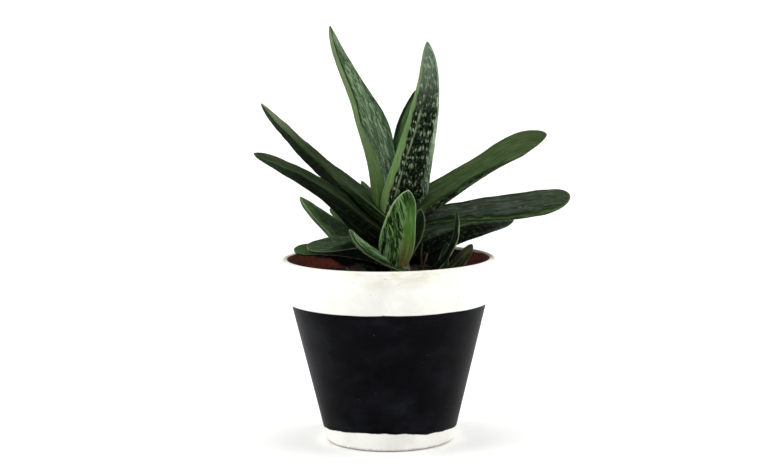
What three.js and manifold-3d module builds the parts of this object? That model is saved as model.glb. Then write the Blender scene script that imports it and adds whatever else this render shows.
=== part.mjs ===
/**
 * Gasteria in a clay pot: a thick-collared pot, its soil, three short stems
 * (one grown plant and two offsets) and their keeled, fleshy leaves.
 *
 * Millimetres, +Z up. The origin is the centre of the pot's base, on the
 * surface it stands on. +Y points to the back of the plant.
 *
 * Every leaf is one closed body: a ring of section points is carried along a
 * bent middle line, from the leaf's root to its tip. Where leaves crowd
 * together at a crown, the inner ones are cut clear of the outer ones, which
 * clasp them, and of the stem.
 */
import * as THREE from 'three';
import { mergeVertices } from 'three/addons/utils/BufferGeometryUtils.js';
import Module from 'manifold-3d';

const wasm = await Module();
wasm.setup();

// ------------------------------------------------------------ driving dimensions

const CLEARANCE = 0.3;             // gap between neighbouring pieces

const POT_HEIGHT = 114;
const RIM_RADIUS = 66;
const RIM_LIP = 3.6;               // width of the rounded lip on top
const COLLAR_HEIGHT = 27;
const COLLAR_FOOT_RADIUS = 62.8;
const COLLAR_OVERHANG = 2.2;       // how far the collar stands out from the body
const BASE_RADIUS = 37.5;
const FOOT_ROUND = 2.6;
const WALL = 4.5;
const FLOOR_THICKNESS = 8;
const DRAIN_HOLES = 3;
const DRAIN_RADIUS = 4.5;
const DRAIN_CIRCLE = 17;           // from the pot's axis to each drain hole's
const DRAIN_SIDES = 20;
const POT_SIDES = 48;

const SOIL_LEVEL = 101;
const SOIL_RELIEF = 1.3;           // height of the crumbs above and below the level
const SOIL_RINGS = 9;

const LEAF_STATIONS = 18;
const PUP_STATIONS = 14;
const STEPS_PER_STATION = 12;      // finer steps that the middle line is summed in
const TOP_POINTS = 3;              // section points between the margins, over the top
const UNDER_POINTS = 5;            // and under the leaf; the middle one is the keel
const MARGIN = 0.8;                // half the thickness of a leaf's margin
const PUP_MARGIN = 0.5;
const LEAST_WIDTH = 0.8;
const LEAST_DEPTH = 0.3;
const ROOT_SHARE = 0.45;           // a leaf's width and depth at its root, as a share
const ROOT_LENGTH = 0.075;         // of those at this part of its length

// How a tip closes: the width falls as (1 - s ** reach) ** blunt.
const TIPS = {
  sharp: { reach: 16, blunt: 0.85 },
  point: { reach: 13, blunt: 0.72 },
  round: { reach: 11, blunt: 0.55 },
  broad: { reach: 8, blunt: 0.6 },
};

const LEAF_GREEN = 0x3c5238;
const PUP_GREEN = 0x4d6b40;
const STEM_GREEN = 0x7d8a5a;

// Each stem: its foot on the soil, radius, how deep its stub goes, its top.
const STEMS = {
  stem_main: { x: 7, y: 6, radius: 7, top: 129 },
  stem_pup_front: { x: 7.5, y: -32, radius: 4, top: 109 },
  stem_pup_right: { x: 30, y: -25, radius: 3.2, top: 107 },
};
const STUB_DEPTH = 12;
const STEM_SIDES = 20;

/*
 * The leaves, outermost first: each is cut clear of those before it.
 *   root     where its middle line starts
 *   az, el   the middle line's bearing from +X and its rise, in degrees, at
 *            even steps from root to tip
 *   length   along the middle line
 *   widths   margin to margin, at even steps
 *   depths   from the margins down to the keel, at even steps
 *   roll     turn of the section about the middle line, in degrees
 *   keel     the keel's place between the middle, 0, and a margin, 1 or -1
 */
const LEAVES = [
  {
    name: 'leaf_resting_left', root: [3, 7, 107.5], length: 65.5, tip: 'round',
    az: [196, 196], el: [28, 16.5, 5.5, -5], roll: [-16, -18], keel: [0, 0.1],
    widths: [16, 17, 18, 18, 18, 18], depths: [5.5, 5, 3.5],
  },
  {
    name: 'leaf_drooping_left', root: [2.5, 2, 116.5], length: 60, tip: 'round',
    az: [210, 205], el: [32, 12.5, -5.5, -2], roll: [-16, -18], keel: [0, 0.1],
    widths: [15, 17, 18, 19, 19, 18], depths: [4.5, 4.4, 3.8],
  },
  {
    name: 'leaf_low_left', root: [1, 7.5, 106.3], length: 77.5, tip: 'sharp',
    az: [150, 152], el: [25, 32, 35.5, 36], roll: [-8, -10], keel: [0, 0.1],
    widths: [18, 27, 25.5, 19.5, 12.5, 6], depths: [9, 9, 4],
  },
  {
    name: 'leaf_low_right', root: [10.5, 9, 114.5], length: 83.5, tip: 'point',
    az: [24, 34], el: [31, 16.5, 5.5, -6], roll: [20, 22, 24], keel: [0.2, 0.3],
    widths: [23, 24, 24.5, 22.5, 18, 12], depths: [10, 8.8, 4],
  },
  {
    name: 'leaf_low_back', root: [9, 10.5, 111], length: 68, tip: 'point',
    az: [66, 60], el: [26, 20, 12, 4], roll: [6, 10], keel: [0, 0.1],
    widths: [18, 20, 20, 18, 14, 9], depths: [7, 6.5, 3.5],
  },
  {
    name: 'leaf_back_left', root: [3, 11, 112], length: 64.5, tip: 'round',
    az: [131, 134], el: [27.5, 22.5], roll: [-10, -10], keel: [0, 0.1],
    widths: [16, 17, 16.5, 15.5, 14, 12], depths: [5.5, 5, 3],
  },
  {
    name: 'leaf_mid_right', root: [8, 6, 132.3], length: 108, tip: 'round',
    az: [6, 4], el: [20, 6.5, 5.5, 17], roll: [38, 42, 46], keel: [0.2, 0.2],
    widths: [13, 15, 18, 20.5, 21.5, 21.5], depths: [5, 4.6, 4],
  },
  {
    name: 'leaf_mid_left', root: [1.5, 3, 127], length: 103.3, tip: 'sharp',
    az: [202, 196], el: [41, 38.5, 28, 17.5], roll: [-14, -20, -22], keel: [0, -0.1],
    widths: [27, 21.5, 16.3, 13, 12, 12], depths: [13.5, 12.1, 8.4, 6.2, 2.6],
  },
  {
    name: 'leaf_short_back', root: [5, 10.5, 124], length: 55, tip: 'point',
    az: [120, 119], el: [36, 38], roll: [0, 0], keel: [0, 0.1],
    widths: [12, 13, 13, 11, 8, 5], depths: [4.5, 4, 2.5],
  },
  {
    name: 'leaf_back', root: [8, 10.5, 121.5], length: 80, tip: 'point',
    az: [86, 92], el: [48, 40, 28, 14], roll: [0, 6], keel: [0, 0.1],
    widths: [18, 20, 20, 18, 14, 9], depths: [7.5, 7, 3.5],
  },
  {
    name: 'leaf_high_left', root: [7.2, 7, 134.4], length: 114, tip: 'sharp',
    az: [178, 168], el: [44.6, 36.9, 42, 45.5], roll: [-4, -8, -12], keel: [0, -0.1],
    widths: [29, 26, 20, 15, 10, 5], depths: [12.5, 8.5, 2.5],
  },
  {
    name: 'leaf_high_right', root: [5.5, 3, 135.5], length: 109.5, tip: 'broad',
    az: [344, 347.5], el: [44, 32.3, 28.4, 17], roll: [28, 34, 38],
    keel: [0.3, 0.55, 0.5, 0.3],
    widths: [28, 26, 21, 19.8, 27, 24], depths: [8.5, 6, 2.2],
  },
  {
    name: 'leaf_tall_front', root: [6, 6, 131.5], length: 121.5, tip: 'point',
    az: [300, 319], el: [68, 68, 75, 100], roll: [-28, -34, -36], keel: [0.45, 0.5, 0.4, 0.2],
    widths: [27, 27.5, 23.2, 19, 13.8, 10], depths: [9, 8, 3.6],
  },
  {
    name: 'leaf_tall_left', root: [-3, 8, 131.5], length: 132, tip: 'sharp',
    az: [168, 172], el: [101, 80.7, 63, 71], roll: [-8, -30, -38, -36],
    keel: [-0.2, -0.6, -0.75, -0.6],
    widths: [18, 20, 23.4, 22.4, 13, 8.4, 4.8], depths: [8.3, 7, 3.2],
  },
  {
    name: 'leaf_tall_back', root: [-0.5, 9, 131], length: 91, tip: 'point',
    az: [60, 49], el: [61, 63, 71, 86], roll: [20, 25], keel: [0.1, 0.2],
    widths: [20, 21, 21.5, 21, 18.2, 8], depths: [7, 6, 3],
  },
  {
    name: 'pup_front_leaf_left', root: [11, -34, 111.2], length: 46.3, tip: 'point', pup: true,
    az: [208, 199], el: [22, 28, 38, 60], roll: [-24, -30], keel: [0, 0.1],
    widths: [10, 12, 15, 15.5, 14, 11.5], depths: [2.8, 2.8, 2.6],
  },
  {
    name: 'pup_front_leaf_front', root: [4.2, -34, 110.5], length: 56.5, tip: 'sharp', pup: true,
    az: [287, 293], el: [92, 69, 58, 56], roll: [-12, -18], keel: [-0.1, -0.2, -0.1],
    widths: [10, 20, 21, 18, 14.5, 8], depths: [5, 4.5, 2.5],
  },
  {
    name: 'pup_front_leaf_back', root: [4.8, -30, 106], length: 44, tip: 'point', pup: true,
    az: [16, 0], el: [62, 65, 70, 90], roll: [60, 66], keel: [0, 0.1],
    widths: [4.5, 5.5, 7, 9, 8.5, 6], depths: [2.6, 2.4, 2],
  },
  {
    name: 'pup_right_leaf_upright', root: [23, -27, 105.5], length: 46.8, tip: 'point', pup: true,
    az: [5, 0], el: [47, 47, 62, 85, 97], roll: [-38, -46, -54], keel: [0, 0.1],
    widths: [6.5, 6.5, 6.5, 6, 4.5, 3], depths: [2.2, 2, 1.5],
  },
  {
    name: 'pup_right_leaf_right', root: [33, -25.5, 105], length: 29.5, tip: 'broad', pup: true,
    az: [36, 40], el: [28, 38, 50], roll: [10, 10], keel: [0, 0.1],
    widths: [8, 10, 11, 10.5, 9.5, 8], depths: [2.6, 2.2, 1.5],
  },
  {
    name: 'pup_right_leaf_back', root: [31, -23, 105], length: 28, tip: 'point', pup: true,
    az: [78, 72], el: [30, 40, 50], roll: [0, 0], keel: [0, 0.1],
    widths: [6, 7, 7, 6, 5, 3.5], depths: [2.4, 2, 1.5],
  },
];

// ------------------------------------------------------------------ materials

function finish(color, roughness) {
  return new THREE.MeshStandardMaterial({ color, roughness, metalness: 0 });
}

// ------------------------------------------------------------ joining and cutting

/** A closed geometry as a solid that can be joined and cut. */
function solidFrom(geometry) {
  const bare = geometry.clone();
  bare.deleteAttribute('normal');
  bare.deleteAttribute('uv');
  const merged = mergeVertices(bare, 1e-4);
  return new wasm.Manifold(new wasm.Mesh({
    numProp: 3,
    vertProperties: new Float32Array(merged.attributes.position.array),
    triVerts: new Uint32Array(merged.index.array),
  }));
}

/** The largest single body of a solid, as a geometry. */
function largestBody(solid) {
  const bodies = solid.decompose();
  bodies.sort((a, b) => b.volume() - a.volume());
  const mesh = bodies[0].getMesh();
  const geometry = new THREE.BufferGeometry();
  geometry.setAttribute('position', new THREE.BufferAttribute(mesh.vertProperties, 3));
  geometry.setIndex(new THREE.BufferAttribute(mesh.triVerts, 1));
  geometry.computeVertexNormals();
  return geometry;
}

/** Rings of equally many points, joined side by side and closed at both ends. */
function closedTube(rings) {
  const sides = rings[0].length;
  const points = rings.flat();
  const faces = [];
  for (let j = 0; j < rings.length - 1; j += 1) {
    for (let i = 0; i < sides; i += 1) {
      const a = j * sides + i;
      const b = j * sides + ((i + 1) % sides);
      faces.push(a, b, b + sides, a, b + sides, a + sides);
    }
  }
  for (const [ring, outward] of [[rings[0], false], [rings.at(-1), true]]) {
    const centre = new THREE.Vector3();
    ring.forEach((p) => centre.addScaledVector(p, 1 / sides));
    points.push(centre);
    const first = outward ? (rings.length - 1) * sides : 0;
    for (let i = 0; i < sides; i += 1) {
      const a = first + i;
      const b = first + ((i + 1) % sides);
      faces.push(points.length - 1, outward ? a : b, outward ? b : a);
    }
  }
  const geometry = new THREE.BufferGeometry().setFromPoints(points);
  geometry.setIndex(faces);
  geometry.computeVertexNormals();
  return geometry;
}

// ------------------------------------------------------------------------- pot

const FLARE = (COLLAR_FOOT_RADIUS - COLLAR_OVERHANG - BASE_RADIUS - FOOT_ROUND)
  / (POT_HEIGHT - COLLAR_HEIGHT - FOOT_ROUND);

/** Outer radius of the tapered body at a height. */
function bodyRadius(z) {
  return BASE_RADIUS + FOOT_ROUND + FLARE * (z - FOOT_ROUND);
}

/** The pot's inner wall, from the floor up to the lip: pairs of radius and height. */
function innerWall() {
  const collarFoot = POT_HEIGHT - COLLAR_HEIGHT;
  return [
    [bodyRadius(FLOOR_THICKNESS) - WALL - 1, FLOOR_THICKNESS],
    [bodyRadius(FLOOR_THICKNESS + 1) - WALL, FLOOR_THICKNESS + 1],
    [bodyRadius(collarFoot - 6) - WALL, collarFoot - 6],
    [COLLAR_FOOT_RADIUS - WALL - 1, collarFoot],
    [RIM_RADIUS - RIM_LIP, POT_HEIGHT - 1.2],
  ];
}

/** Inner radius of the pot at a height, read off the inner wall. */
function innerRadius(z) {
  const wall = innerWall();
  const k = Math.max(1, wall.findIndex(([, height]) => height >= z));
  const [r0, z0] = wall[k - 1];
  const [r1, z1] = wall[k];
  return r0 + (r1 - r0) * (z - z0) / (z1 - z0);
}

function potGeometry() {
  const collarFoot = POT_HEIGHT - COLLAR_HEIGHT;
  const profile = [
    [0, 0],
    [BASE_RADIUS, 0],
    [BASE_RADIUS + 0.7 * FOOT_ROUND, 0.3 * FOOT_ROUND],
    [BASE_RADIUS + FOOT_ROUND, FOOT_ROUND],
    [bodyRadius(collarFoot), collarFoot],
    [COLLAR_FOOT_RADIUS - 0.7, collarFoot],
    [COLLAR_FOOT_RADIUS, collarFoot + 1],
    [RIM_RADIUS, POT_HEIGHT - 1.6],
    [RIM_RADIUS - 0.5, POT_HEIGHT - 0.4],
    [RIM_RADIUS - 1.4, POT_HEIGHT],
    [RIM_RADIUS - RIM_LIP + 1.2, POT_HEIGHT],
    [RIM_RADIUS - RIM_LIP + 0.3, POT_HEIGHT - 0.4],
    ...innerWall().reverse(),
    [0, FLOOR_THICKNESS],
  ];
  const outline = profile.map(([r, z]) => new THREE.Vector2(r, z));
  let pot = solidFrom(upright(new THREE.LatheGeometry(outline, POT_SIDES)));
  const through = 3 * FLOOR_THICKNESS;
  for (let i = 0; i < DRAIN_HOLES; i += 1) {
    const angle = Math.PI / 2 + (2 * Math.PI * i) / DRAIN_HOLES;
    const drill = upright(new THREE.CylinderGeometry(DRAIN_RADIUS, DRAIN_RADIUS, through, DRAIN_SIDES));
    drill.translate(DRAIN_CIRCLE * Math.cos(angle), DRAIN_CIRCLE * Math.sin(angle), 0);
    pot = pot.subtract(solidFrom(drill));
  }
  return largestBody(pot);
}

/** Turns a shape made about +Y so that it stands about +Z. */
function upright(geometry) {
  return geometry.rotateX(Math.PI / 2);
}

// ----------------------------------------------------------------------- stems

/** A leafy stem with ringed leaf scars, and its stub below the soil's surface. */
function stemGeometry(stem, grow = 0) {
  const foot = SOIL_LEVEL - STUB_DEPTH - grow;
  const above = stem.top - SOIL_LEVEL - SOIL_RELIEF;
  const scars = 4;
  const profile = [[0, foot], [stem.radius + grow, foot]];
  for (let i = 0; i <= 2 * scars; i += 1) {
    const part = i / (2 * scars);
    const swell = i % 2 ? 1 : 0.93;
    const radius = stem.radius * (i === 0 ? 1 : swell * (1 - 0.3 * part));
    profile.push([radius + grow, SOIL_LEVEL + SOIL_RELIEF + part * above]);
  }
  profile.push([0, stem.top + 1 + grow]);
  const outline = profile.map(([r, z]) => new THREE.Vector2(r, z));
  const geometry = upright(new THREE.LatheGeometry(outline, STEM_SIDES));
  return geometry.translate(stem.x, stem.y, 0);
}

// ------------------------------------------------------------------------ soil

/** Crumbly relief of the soil's surface at a place: waves laid over each other. */
function crumbs(x, y) {
  const waves = Math.sin(0.31 * x + 1.3) * Math.cos(0.27 * y - 0.4)
    + 0.6 * Math.sin(0.63 * x - 0.52 * y) + 0.5 * Math.cos(0.47 * x + 0.71 * y + 2.1);
  return SOIL_RELIEF * waves / 2.1;
}

/** The soil that fills the pot, with a plain hole round each stem's stub. */
function soilGeometry() {
  const rings = [];
  const addRing = (radius, height) => {
    const ring = [];
    for (let i = 0; i < POT_SIDES; i += 1) {
      const angle = (2 * Math.PI * i) / POT_SIDES;
      const x = radius * Math.cos(angle);
      const y = radius * Math.sin(angle);
      ring.push(new THREE.Vector3(x, y, height(x, y)));
    }
    rings.push(ring);
  };
  const edgeHeight = SOIL_LEVEL - SOIL_RELIEF;
  const sideFit = Math.cos(Math.PI / POT_SIDES);
  const floor = FLOOR_THICKNESS + CLEARANCE;
  const levels = [floor, FLOOR_THICKNESS + 1.3, ...innerWall().slice(2, 4).map(([, z]) => z), edgeHeight];
  addRing(2, () => floor);
  levels.forEach((z) => addRing(innerRadius(z) - CLEARANCE / sideFit, () => z));
  const outer = innerRadius(edgeHeight) - CLEARANCE;
  for (let k = 1; k <= SOIL_RINGS; k += 1) {
    const radius = outer * (1 - k / (SOIL_RINGS + 0.4));
    addRing(radius, (x, y) => SOIL_LEVEL + crumbs(x, y));
  }
  let soil = solidFrom(closedTube(rings));
  for (const stem of Object.values(STEMS)) {
    soil = soil.subtract(solidFrom(stemGeometry(stem, CLEARANCE)));
  }
  return largestBody(soil);
}

// ---------------------------------------------------------------------- leaves

/** A smooth curve through evenly spaced values (Catmull-Rom), read at s from 0 to 1. */
function along(values, s) {
  const last = values.length - 1;
  const x = THREE.MathUtils.clamp(s, 0, 1) * last;
  const i = Math.min(Math.floor(x), last - 1);
  const t = x - i;
  const a = i > 0 ? values[i - 1] : 2 * values[0] - values[1];
  const b = values[i];
  const c = values[i + 1];
  const d = i + 2 <= last ? values[i + 2] : 2 * values[last] - values[last - 1];
  return 0.5 * (2 * b + (c - a) * t + (2 * a - 5 * b + 4 * c - d) * t ** 2
    + (3 * b - a - 3 * c + d) * t ** 3);
}

/** The way the middle line heads at s. */
function heading(leaf, s) {
  const az = THREE.MathUtils.degToRad(along(leaf.az, s));
  const el = THREE.MathUtils.degToRad(along(leaf.el, s));
  return new THREE.Vector3(
    Math.cos(el) * Math.cos(az),
    Math.cos(el) * Math.sin(az),
    Math.sin(el),
  );
}

/** How far a leaf has swelled to its full section at s, just past its root. */
function rootShare(s) {
  return ROOT_SHARE + (1 - ROOT_SHARE) * Math.min(1, s / ROOT_LENGTH);
}

/** Stations from root to tip, closer together towards the tip. */
function stationsOf(leaf) {
  const count = leaf.pup ? PUP_STATIONS : LEAF_STATIONS;
  const list = [];
  for (let j = 0; j < count; j += 1) {
    list.push(1 - (1 - j / (count - 1)) ** 1.35);
  }
  return list;
}

/**
 * The section at s, seen along the middle line: pairs of a place across, from
 * -1 to 1 of the half width, and a height in millimetres. It runs from the
 * right margin over the hollowed upper face to the left margin, and back
 * under the leaf, past the keel.
 */
function sectionAt(leaf, s, grow) {
  const { reach } = TIPS[leaf.tip];
  const fade = rootShare(s) * Math.max(0, 1 - s ** (1.4 * reach)) ** 0.55;
  const depth = Math.max(along(leaf.depths, s) * fade, LEAST_DEPTH) + grow;
  const margin = (leaf.pup ? PUP_MARGIN : MARGIN) * Math.min(1, 1.15 - s ** 18) + grow;
  const groove = (leaf.pup ? 0.6 : 1) * Math.sin(Math.PI * s ** 0.6) ** 0.8;
  const keel = along(leaf.keel, s);
  const ridge = 2 - 0.75 * Math.min(1, s / 0.3);
  const points = [];
  for (let i = 0; i <= TOP_POINTS; i += 1) {
    const across = Math.cos((Math.PI * i) / (TOP_POINTS + 1));
    const bulge = Math.sqrt(1 - across ** 2);
    points.push([across, margin * bulge - groove * bulge ** 2]);
  }
  for (let i = 0; i <= UNDER_POINTS; i += 1) {
    const t = -Math.cos((Math.PI * i) / (UNDER_POINTS + 1));
    const across = keel + t * (t > 0 ? 1 - keel : 1 + keel);
    const bulge = Math.sqrt(Math.max(0, 1 - across ** 2));
    points.push([across, -margin * bulge - depth * (1 - Math.abs(t) ** ridge)]);
  }
  return points;
}

/** The leaf's closed body; grow swells it all round, for cutting its neighbours. */
function leafGeometry(leaf, grow = 0) {
  const { reach, blunt } = TIPS[leaf.tip];
  const stations = stationsOf(leaf);
  const centre = new THREE.Vector3(...leaf.root);
  const rings = [];
  stations.forEach((s, j) => {
    if (j > 0) {
      const step = (s - stations[j - 1]) / STEPS_PER_STATION;
      for (let k = 0; k < STEPS_PER_STATION; k += 1) {
        const middle = stations[j - 1] + (k + 0.5) * step;
        centre.addScaledVector(heading(leaf, middle), leaf.length * step);
      }
    }
    const forward = heading(leaf, s);
    const az = THREE.MathUtils.degToRad(along(leaf.az, s));
    const el = THREE.MathUtils.degToRad(along(leaf.el, s));
    const up = new THREE.Vector3(
      -Math.sin(el) * Math.cos(az),
      -Math.sin(el) * Math.sin(az),
      Math.cos(el),
    );
    up.applyAxisAngle(forward, THREE.MathUtils.degToRad(along(leaf.roll, s)));
    const side = new THREE.Vector3().crossVectors(forward, up);
    const narrowed = along(leaf.widths, s) * rootShare(s) * (1 - s ** reach) ** blunt;
    const half = Math.max(narrowed, LEAST_WIDTH) / 2 + grow;
    const end = j === 0 ? -grow : (j === stations.length - 1 ? grow : 0);
    const ring = sectionAt(leaf, s, grow).map(([across, height]) => centre.clone()
      .addScaledVector(forward, end)
      .addScaledVector(side, half * across)
      .addScaledVector(up, height));
    rings.push(ring.reverse());
  });
  return closedTube(rings);
}

/** What a leaf has to stay above: a thick slab up to the highest crumbs. */
function groundSolid() {
  const top = SOIL_LEVEL + SOIL_RELIEF + CLEARANCE;
  const slab = new THREE.BoxGeometry(4 * RIM_RADIUS, 4 * RIM_RADIUS, top);
  return solidFrom(slab.translate(0, 0, top / 2));
}

/** All leaves, each cut clear of the ground, the stems and the leaves before it. */
function leafMeshes() {
  const obstacles = [groundSolid()];
  Object.values(STEMS).forEach((stem) => {
    obstacles.push(solidFrom(stemGeometry(stem, CLEARANCE)));
  });
  return LEAVES.map((leaf) => {
    let solid = solidFrom(leafGeometry(leaf));
    for (const obstacle of obstacles) {
      solid = solid.subtract(obstacle);
    }
    obstacles.push(solidFrom(leafGeometry(leaf, CLEARANCE)));
    const colour = finish(leaf.pup ? PUP_GREEN : LEAF_GREEN, 0.45);
    return named(leaf.name, largestBody(solid), colour);
  });
}

// ------------------------------------------------------------------ the object

function named(name, geometry, material) {
  const mesh = new THREE.Mesh(geometry, material);
  mesh.name = name;
  return mesh;
}

const plant = new THREE.Group();
plant.add(...leafMeshes());
for (const [name, stem] of Object.entries(STEMS)) {
  plant.add(named(name, stemGeometry(stem), finish(STEM_GREEN, 0.6)));
}

const potted = new THREE.Group();
potted.add(named('pot', potGeometry(), finish(0x2e2e30, 0.9)));
potted.add(named('soil', soilGeometry(), finish(0x2a211c, 0.95)));
potted.add(plant);

export default potted;
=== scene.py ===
"""A gasteria in a painted clay pot: the looks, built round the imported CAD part.

Shapes are worked out in millimetres in the part's own frame, with the origin
at the centre of the pot's base, +Z up and +Y to the back of the plant, and
are written to the meshes in metres. The leaves follow the same rules and the
same table of measurements as the part's solids, on a much finer grid.
"""

import math

import bpy
import numpy as np
from mathutils import Matrix, Vector


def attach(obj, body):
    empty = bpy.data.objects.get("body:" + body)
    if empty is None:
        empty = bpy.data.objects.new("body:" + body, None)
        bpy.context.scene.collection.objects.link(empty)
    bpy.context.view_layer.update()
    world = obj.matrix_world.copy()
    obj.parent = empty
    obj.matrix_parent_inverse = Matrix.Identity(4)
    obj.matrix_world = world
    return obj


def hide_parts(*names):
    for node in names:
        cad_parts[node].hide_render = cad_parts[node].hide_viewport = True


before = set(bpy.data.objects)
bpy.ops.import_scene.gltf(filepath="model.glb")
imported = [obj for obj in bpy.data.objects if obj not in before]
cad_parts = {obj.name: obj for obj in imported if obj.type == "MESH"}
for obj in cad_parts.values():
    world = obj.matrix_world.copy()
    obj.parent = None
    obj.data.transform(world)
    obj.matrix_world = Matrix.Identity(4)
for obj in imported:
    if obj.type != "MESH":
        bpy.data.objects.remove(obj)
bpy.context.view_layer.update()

MM = 0.001

# ---- measurements

POT_HEIGHT = 114.0
RIM_RADIUS = 66.0
RIM_LIP = 3.6              # width of the rounded lip on top
COLLAR_HEIGHT = 27.0
COLLAR_FOOT = POT_HEIGHT - COLLAR_HEIGHT
COLLAR_FOOT_RADIUS = 62.8
COLLAR_OVERHANG = 2.2      # how far the collar stands out from the body
BASE_RADIUS = 37.5
FOOT_ROUND = 2.6
COLLAR_ROUND = 1.0         # rounding of the collar's lower edge
CORNER_ROUND = 0.6         # and of the corner between it and the body
LIP_ROUND = 1.7            # rounding of the lip, outside
LIP_INNER_ROUND = 1.2      # and inside
WALL = 4.5
FLOOR_THICKNESS = 8.0
DRAIN_HOLES = 3
DRAIN_RADIUS = 4.5
DRAIN_CIRCLE = 17.0        # from the pot's axis to each drain hole's
DRILL_SPARE = 5.0          # how far the drills reach past the floor
COLLAR_CHIP = (-3.4, -62.6, 87.2)
FOOT_PAINT = 9.1           # height of the white paint on the foot
SOIL_LEVEL = 101.0
SOIL_RELIEF = 1.3          # height of the crumbs above and below the level
SOIL_GAP = 0.3
STUB_DEPTH = 12.0

MARGIN = 0.8               # half the thickness of a leaf's margin
PUP_MARGIN = 0.5
LEAST_WIDTH = 0.8
LEAST_DEPTH = 0.3
ROOT_SHARE = 0.45          # a leaf's width and depth at its root, as a share
ROOT_LENGTH = 0.075        # of those at this part of its length
CLOSING = 0.004            # part of the length in which the tip closes to a point
SPOT_ROWS = 5.5            # distance from one row of spots to the next
SPOT_PACE = 0.68           # spots per millimetre across the leaf
PUP_FINENESS = (0.85, 0.85)
SEED_SHIFT = (37.0, 53.0)  # moves the marks on from leaf to leaf

# Fineness of the grids.
POT_SIDES = 168
SOIL_SIDES, SOIL_RINGS = 220, 70
STEM_SIDES, STEM_RINGS = 40, 60
DRILL_SIDES = 40
PAPER_SIDES = 96
GRIT_COUNT, GRIT_SIDES, GRIT_RINGS = 420, 8, 5
ROW_STEP, MORE_ROWS = 0.85, 24
PATH_STEPS = 800
TOP_POINTS, UNDER_POINTS = 22, 34

# How a tip closes: the width falls as (1 - s ^ reach) ^ blunt.
TIPS = {
    "sharp": (16, 0.85),
    "point": (13, 0.72),
    "round": (11, 0.55),
    "broad": (8, 0.6),
}

STEMS = {
    "stem_main": dict(x=7, y=6, radius=7, top=129),
    "stem_pup_front": dict(x=7.5, y=-32, radius=4, top=109),
    "stem_pup_right": dict(x=30, y=-25, radius=3.2, top=107),
}

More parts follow.
